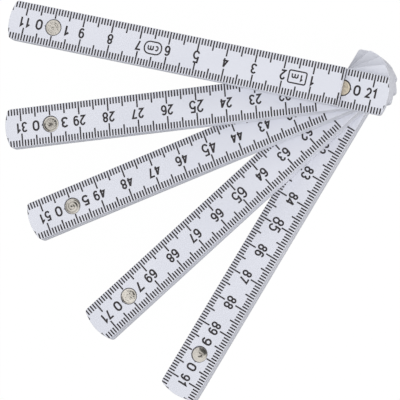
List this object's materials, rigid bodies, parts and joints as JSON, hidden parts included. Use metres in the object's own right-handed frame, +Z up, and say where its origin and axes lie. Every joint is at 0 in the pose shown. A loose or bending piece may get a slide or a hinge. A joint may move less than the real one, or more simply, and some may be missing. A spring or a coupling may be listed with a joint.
{
  "type": "folding rule",
  "caption": "Jointed plastic measuring rule: flat blades riveted end to end with detent joints, which folds into a short stack and opens to a straight metre; shown fanned.",
  "frame": {"origin": "middle of the bottom blade's back face (50 mm from each of its end lines), on the plane the rule rests on", "axes": "+Z up, out of the numbered faces and along every rivet; +Y towards the top of the fan, on the side of blade 1; +X towards the rivets that all the pairs share"},
  "size_m": [0.1307, 0.1327, 0.0268],
  "materials": {
    "blade_plastic": "white glass-filled polyamide, satin, printed with a black scale",
    "rivet_nickel": "nickel-plated, spun head up, faint rings from the riveting tool",
    "rivet_brass": "pale brass tone, flat factory head up",
    "washer_steel": "plain spring steel"
  },
  "bodies": {
    "blade_10": {"blade_10": "blade_plastic"},
    "blade_9": {"blade_9": "blade_plastic", "rivet_9": "rivet_nickel", "spring_washer_9": "washer_steel"},
    "blade_8": {"blade_8": "blade_plastic", "rivet_8": "rivet_brass", "spring_washer_8": "washer_steel"},
    "blade_7": {"blade_7": "blade_plastic", "rivet_7": "rivet_nickel", "spring_washer_7": "washer_steel"},
    "blade_6": {"blade_6": "blade_plastic", "rivet_6": "rivet_brass", "spring_washer_6": "washer_steel"},
    "blade_5": {"blade_5": "blade_plastic", "rivet_5": "rivet_nickel", "spring_washer_5": "washer_steel"},
    "blade_4": {"blade_4": "blade_plastic", "rivet_4": "rivet_brass", "spring_washer_4": "washer_steel"},
    "blade_3": {"blade_3": "blade_plastic", "rivet_3": "rivet_nickel", "spring_washer_3": "washer_steel"},
    "blade_2": {"blade_2": "blade_plastic", "rivet_2": "rivet_brass", "spring_washer_2": "washer_steel"},
    "blade_1": {"blade_1": "blade_plastic", "rivet_1": "rivet_nickel", "spring_washer_1": "washer_steel"}
  },
  "joints": [
    {"name": "joint_1_at_10_cm", "type": "hinge", "parent": "blade_2", "child": "blade_1", "pos_m": [-0.07108, 0.06538, 0.0243], "axis": [0, 0, 1], "range_deg": [0, 180]},
    {"name": "joint_2_at_20_cm", "type": "hinge", "parent": "blade_3", "child": "blade_2", "pos_m": [0.02627, 0.04254, 0.0216], "axis": [0, 0, -1], "range_deg": [-18.2, 161.8]},
    {"name": "joint_3_at_30_cm", "type": "hinge", "parent": "blade_4", "child": "blade_3", "pos_m": [-0.07335, 0.03383, 0.0189], "axis": [0, 0, 1], "range_deg": [0, 180]},
    {"name": "joint_4_at_40_cm", "type": "hinge", "parent": "blade_5", "child": "blade_4", "pos_m": [0.02627, 0.04254, 0.0162], "axis": [0, 0, -1], "range_deg": [-15.9, 164.1]},
    {"name": "joint_5_at_50_cm", "type": "hinge", "parent": "blade_6", "child": "blade_5", "pos_m": [-0.06715, 0.00687, 0.0135], "axis": [0, 0, 1], "range_deg": [0, 180]},
    {"name": "joint_6_at_60_cm", "type": "hinge", "parent": "blade_7", "child": "blade_6", "pos_m": [0.02627, 0.04254, 0.0108], "axis": [0, 0, -1], "range_deg": [-20.2, 159.8]},
    {"name": "joint_7_at_70_cm", "type": "hinge", "parent": "blade_8", "child": "blade_7", "pos_m": [-0.04908, -0.0232, 0.0081], "axis": [0, 0, 1], "range_deg": [0, 180]},
    {"name": "joint_8_at_80_cm", "type": "hinge", "parent": "blade_9", "child": "blade_8", "pos_m": [0.02627, 0.04254, 0.0054], "axis": [0, 0, -1], "range_deg": [-17.2, 162.8]},
    {"name": "joint_9_at_90_cm", "type": "hinge", "parent": "blade_10", "child": "blade_9", "pos_m": [-0.02627, -0.04254, 0.0027], "axis": [0, 0, 1], "range_deg": [0, 180]}
  ]
}
